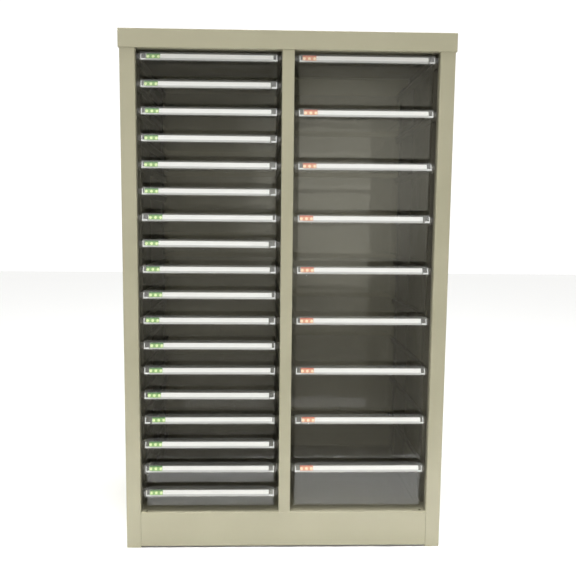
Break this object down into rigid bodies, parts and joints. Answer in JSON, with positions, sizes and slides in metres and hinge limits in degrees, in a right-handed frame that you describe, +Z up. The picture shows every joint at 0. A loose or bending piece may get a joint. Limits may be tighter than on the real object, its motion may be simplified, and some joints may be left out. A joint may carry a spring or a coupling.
{
  "type": "parts organizer cabinet",
  "caption": "Two-column steel cabinet of see-through pull-out A4 drawers, slim ones on the left and deep ones on the right, each with a clear label holder.",
  "frame": {"origin": "on the floor, in the middle of the cabinet's footprint", "axes": "+X to the user's right, +Y towards the back, +Z up; the drawers pull out towards -Y"},
  "size_m": [0.554, 0.334, 0.88],
  "materials": {
    "painted_steel": "warm grey-beige powder coat, satin with a fine orange-peel texture",
    "runner_steel": "the same paint, thinner and duller inside the cabinet",
    "smoky_tray": "transparent smoky grey moulded styrene, polished",
    "clear_holder": "colourless clear moulded styrene, polished",
    "label_paper": "white card strip",
    "green_tab": "green printed card tab with pale dots",
    "orange_tab": "orange-red printed card tab with pale dots",
    "rivet_steel": "dull zinc-plated rivets and screws"
  },
  "bodies": {
    "cabinet": {"side_panels": "painted_steel", "base_pan": "painted_steel", "centre_partition": "painted_steel", "runner_rails": "runner_steel", "back_panel": "painted_steel", "top_cover": "painted_steel"},
    "slim_drawer_01": {"slim_drawer_01": "smoky_tray", "slim_label_holder_01": "clear_holder"},
    "slim_drawer_02": {"slim_drawer_02": "smoky_tray", "slim_label_holder_02": "clear_holder"},
    "slim_drawer_03": {"slim_drawer_03": "smoky_tray", "slim_label_holder_03": "clear_holder"},
    "slim_drawer_04": {"slim_drawer_04": "smoky_tray", "slim_label_holder_04": "clear_holder"},
    "slim_drawer_05": {"slim_drawer_05": "smoky_tray", "slim_label_holder_05": "clear_holder"},
    "slim_drawer_06": {"slim_drawer_06": "smoky_tray", "slim_label_holder_06": "clear_holder"},
    "slim_drawer_07": {"slim_drawer_07": "smoky_tray", "slim_label_holder_07": "clear_holder"},
    "slim_drawer_08": {"slim_drawer_08": "smoky_tray", "slim_label_holder_08": "clear_holder"},
    "slim_drawer_09": {"slim_drawer_09": "smoky_tray", "slim_label_holder_09": "clear_holder"},
    "slim_drawer_10": {"slim_drawer_10": "smoky_tray", "slim_label_holder_10": "clear_holder"},
    "slim_drawer_11": {"slim_drawer_11": "smoky_tray", "slim_label_holder_11": "clear_holder"},
    "slim_drawer_12": {"slim_drawer_12": "smoky_tray", "slim_label_holder_12": "clear_holder"},
    "slim_drawer_13": {"slim_drawer_13": "smoky_tray", "slim_label_holder_13": "clear_holder"},
    "slim_drawer_14": {"slim_drawer_14": "smoky_tray", "slim_label_holder_14": "clear_holder"},
    "slim_drawer_15": {"slim_drawer_15": "smoky_tray", "slim_label_holder_15": "clear_holder"},
    "slim_drawer_16": {"slim_drawer_16": "smoky_tray", "slim_label_holder_16": "clear_holder"},
    "slim_drawer_17": {"slim_drawer_17": "smoky_tray", "slim_label_holder_17": "clear_holder"},
    "slim_drawer_18": {"slim_drawer_18": "smoky_tray", "slim_label_holder_18": "clear_holder"},
    "deep_drawer_1": {"deep_drawer_1": "smoky_tray", "deep_label_holder_1": "clear_holder"},
    "deep_drawer_2": {"deep_drawer_2": "smoky_tray", "deep_label_holder_2": "clear_holder"},
    "deep_drawer_3": {"deep_drawer_3": "smoky_tray", "deep_label_holder_3": "clear_holder"},
    "deep_drawer_4": {"deep_drawer_4": "smoky_tray", "deep_label_holder_4": "clear_holder"},
    "deep_drawer_5": {"deep_drawer_5": "smoky_tray", "deep_label_holder_5": "clear_holder"},
    "deep_drawer_6": {"deep_drawer_6": "smoky_tray", "deep_label_holder_6": "clear_holder"},
    "deep_drawer_7": {"deep_drawer_7": "smoky_tray", "deep_label_holder_7": "clear_holder"},
    "deep_drawer_8": {"deep_drawer_8": "smoky_tray", "deep_label_holder_8": "clear_holder"},
    "deep_drawer_9": {"deep_drawer_9": "smoky_tray", "deep_label_holder_9": "clear_holder"}
  },
  "joints": [
    {"name": "slim_drawer_01_slide", "type": "slide", "parent": "cabinet", "child": "slim_drawer_01", "axis": [0, -1, 0], "range_m": [0, 0.25]},
    {"name": "slim_drawer_02_slide", "type": "slide", "parent": "cabinet", "child": "slim_drawer_02", "axis": [0, -1, 0], "range_m": [0, 0.25]},
    {"name": "slim_drawer_03_slide", "type": "slide", "parent": "cabinet", "child": "slim_drawer_03", "axis": [0, -1, 0], "range_m": [0, 0.25]},
    {"name": "slim_drawer_04_slide", "type": "slide", "parent": "cabinet", "child": "slim_drawer_04", "axis": [0, -1, 0], "range_m": [0, 0.25]},
    {"name": "slim_drawer_05_slide", "type": "slide", "parent": "cabinet", "child": "slim_drawer_05", "axis": [0, -1, 0], "range_m": [0, 0.25]},
    {"name": "slim_drawer_06_slide", "type": "slide", "parent": "cabinet", "child": "slim_drawer_06", "axis": [0, -1, 0], "range_m": [0, 0.25]},
    {"name": "slim_drawer_07_slide", "type": "slide", "parent": "cabinet", "child": "slim_drawer_07", "axis": [0, -1, 0], "range_m": [0, 0.25]},
    {"name": "slim_drawer_08_slide", "type": "slide", "parent": "cabinet", "child": "slim_drawer_08", "axis": [0, -1, 0], "range_m": [0, 0.25]},
    {"name": "slim_drawer_09_slide", "type": "slide", "parent": "cabinet", "child": "slim_drawer_09", "axis": [0, -1, 0], "range_m": [0, 0.25]},
    {"name": "slim_drawer_10_slide", "type": "slide", "parent": "cabinet", "child": "slim_drawer_10", "axis": [0, -1, 0], "range_m": [0, 0.25]},
    {"name": "slim_drawer_11_slide", "type": "slide", "parent": "cabinet", "child": "slim_drawer_11", "axis": [0, -1, 0], "range_m": [0, 0.25]},
    {"name": "slim_drawer_12_slide", "type": "slide", "parent": "cabinet", "child": "slim_drawer_12", "axis": [0, -1, 0], "range_m": [0, 0.25]},
    {"name": "slim_drawer_13_slide", "type": "slide", "parent": "cabinet", "child": "slim_drawer_13", "axis": [0, -1, 0], "range_m": [0, 0.25]},
    {"name": "slim_drawer_14_slide", "type": "slide", "parent": "cabinet", "child": "slim_drawer_14", "axis": [0, -1, 0], "range_m": [0, 0.25]},
    {"name": "slim_drawer_15_slide", "type": "slide", "parent": "cabinet", "child": "slim_drawer_15", "axis": [0, -1, 0], "range_m": [0, 0.25]},
    {"name": "slim_drawer_16_slide", "type": "slide", "parent": "cabinet", "child": "slim_drawer_16", "axis": [0, -1, 0], "range_m": [0, 0.25]},
    {"name": "slim_drawer_17_slide", "type": "slide", "parent": "cabinet", "child": "slim_drawer_17", "axis": [0, -1, 0], "range_m": [0, 0.25]},
    {"name": "slim_drawer_18_slide", "type": "slide", "parent": "cabinet", "child": "slim_drawer_18", "axis": [0, -1, 0], "range_m": [0, 0.25]},
    {"name": "deep_drawer_1_slide", "type": "slide", "parent": "cabinet", "child": "deep_drawer_1", "axis": [0, -1, 0], "range_m": [0, 0.25]},
    {"name": "deep_drawer_2_slide", "type": "slide", "parent": "cabinet", "child": "deep_drawer_2", "axis": [0, -1, 0], "range_m": [0, 0.25]},
    {"name": "deep_drawer_3_slide", "type": "slide", "parent": "cabinet", "child": "deep_drawer_3", "axis": [0, -1, 0], "range_m": [0, 0.25]},
    {"name": "deep_drawer_4_slide", "type": "slide", "parent": "cabinet", "child": "deep_drawer_4", "axis": [0, -1, 0], "range_m": [0, 0.25]},
    {"name": "deep_drawer_5_slide", "type": "slide", "parent": "cabinet", "child": "deep_drawer_5", "axis": [0, -1, 0], "range_m": [0, 0.25]},
    {"name": "deep_drawer_6_slide", "type": "slide", "parent": "cabinet", "child": "deep_drawer_6", "axis": [0, -1, 0], "range_m": [0, 0.25]},
    {"name": "deep_drawer_7_slide", "type": "slide", "parent": "cabinet", "child": "deep_drawer_7", "axis": [0, -1, 0], "range_m": [0, 0.25]},
    {"name": "deep_drawer_8_slide", "type": "slide", "parent": "cabinet", "child": "deep_drawer_8", "axis": [0, -1, 0], "range_m": [0, 0.25]},
    {"name": "deep_drawer_9_slide", "type": "slide", "parent": "cabinet", "child": "deep_drawer_9", "axis": [0, -1, 0], "range_m": [0, 0.25]}
  ]
}
